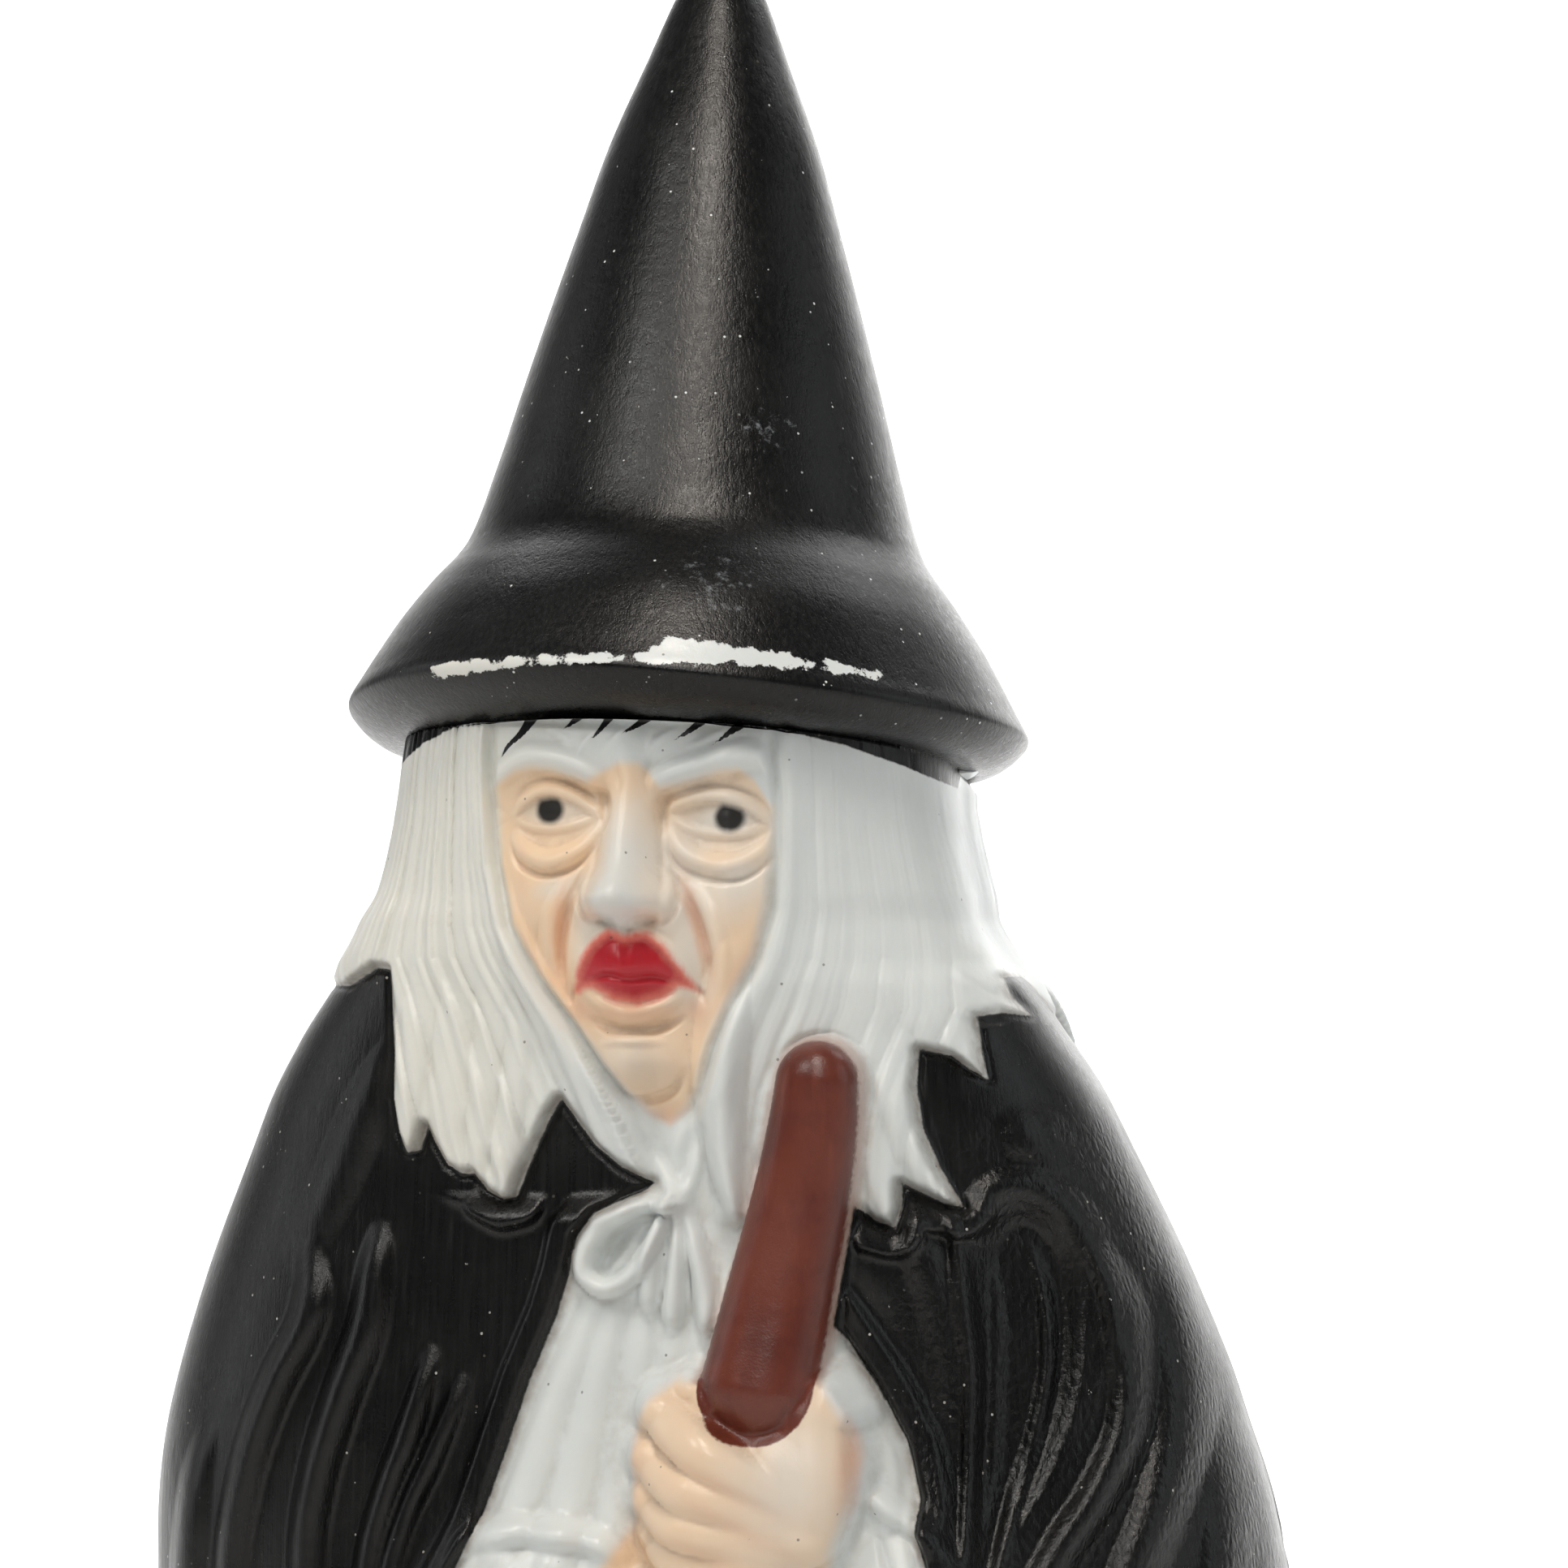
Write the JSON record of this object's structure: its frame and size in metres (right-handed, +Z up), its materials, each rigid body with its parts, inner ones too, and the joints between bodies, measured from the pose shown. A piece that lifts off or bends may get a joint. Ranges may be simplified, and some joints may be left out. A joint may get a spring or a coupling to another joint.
{
  "type": "light-up witch figure",
  "caption": "Hollow blow-moulded witch in a pointed hat and cape, holding a cane, with a screw-bulb lamp unit that pushes into a hole in the back.",
  "frame": {"origin": "middle of the flat base, on the surface it stands on", "axes": "+Z up to the hat's tip, the witch faces -Y, +X is the viewer's right"},
  "size_m": [0.3702, 0.2866, 0.8765],
  "materials": {
    "painted_shell": "blow-moulded polyethylene, airbrushed black over white",
    "white_plastic": "moulded polyethylene",
    "black_rubber": "smooth moulded rubber",
    "phenolic": "moulded phenolic",
    "brass": "rolled and pressed",
    "fibre_sleeve": "vulcanised fibre paper",
    "zinc_steel": "zinc plated",
    "frosted_glass": "inside frosted",
    "clear_glass": "clear",
    "cap_aluminium": "rolled",
    "black_glass": "vitrite",
    "solder": "soft solder",
    "nickel_wire": "drawn wire",
    "tungsten": "coiled wire"
  },
  "bodies": {
    "shell": {"shell_base": "painted_shell", "shell_front_left": "painted_shell", "shell_front_centre": "painted_shell", "shell_front_right": "painted_shell", "shell_back_left": "painted_shell", "shell_back_right": "painted_shell", "shell_plug_panel": "painted_shell", "shell_lamp_panel": "painted_shell", "shell_back_centre": "painted_shell", "shell_shoulders_front": "painted_shell", "shell_shoulders_back": "painted_shell", "shell_brim": "painted_shell", "shell_crown": "painted_shell"},
    "lamp_unit": {"lamp_plate": "white_plastic", "cord_gland": "black_rubber", "lampholder_back": "phenolic", "lampholder_floor": "phenolic", "lampholder_body": "phenolic", "screw_shell": "brass", "insulating_sleeve": "fibre_sleeve", "centre_contact": "brass", "contact_rivet": "brass", "terminal_straps": "brass", "terminal_screws": "zinc_steel", "lampholder_screws": "zinc_steel"},
    "bulb": {"bulb_envelope": "frosted_glass", "bulb_cap": "cap_aluminium", "bulb_cap_insulator": "black_glass", "bulb_end_contact": "solder", "bulb_stem": "clear_glass", "bulb_lead_wires": "nickel_wire", "bulb_support_wires": "nickel_wire", "bulb_filament": "tungsten"},
    "plug": {"filler_plug": "white_plastic"}
  },
  "joints": [
    {"name": "lamp_unit_pull", "type": "slide", "parent": "shell", "child": "lamp_unit", "axis": [0, 1, 0], "range_m": [0, 0.14]},
    {"name": "bulb_unscrew", "type": "slide", "parent": "lamp_unit", "child": "bulb", "axis": [0, -1, 0], "range_m": [0, 0.027]},
    {"name": "filler_plug_pull", "type": "slide", "parent": "shell", "child": "plug", "axis": [0, 1, 0], "range_m": [0, 0.016]}
  ]
}
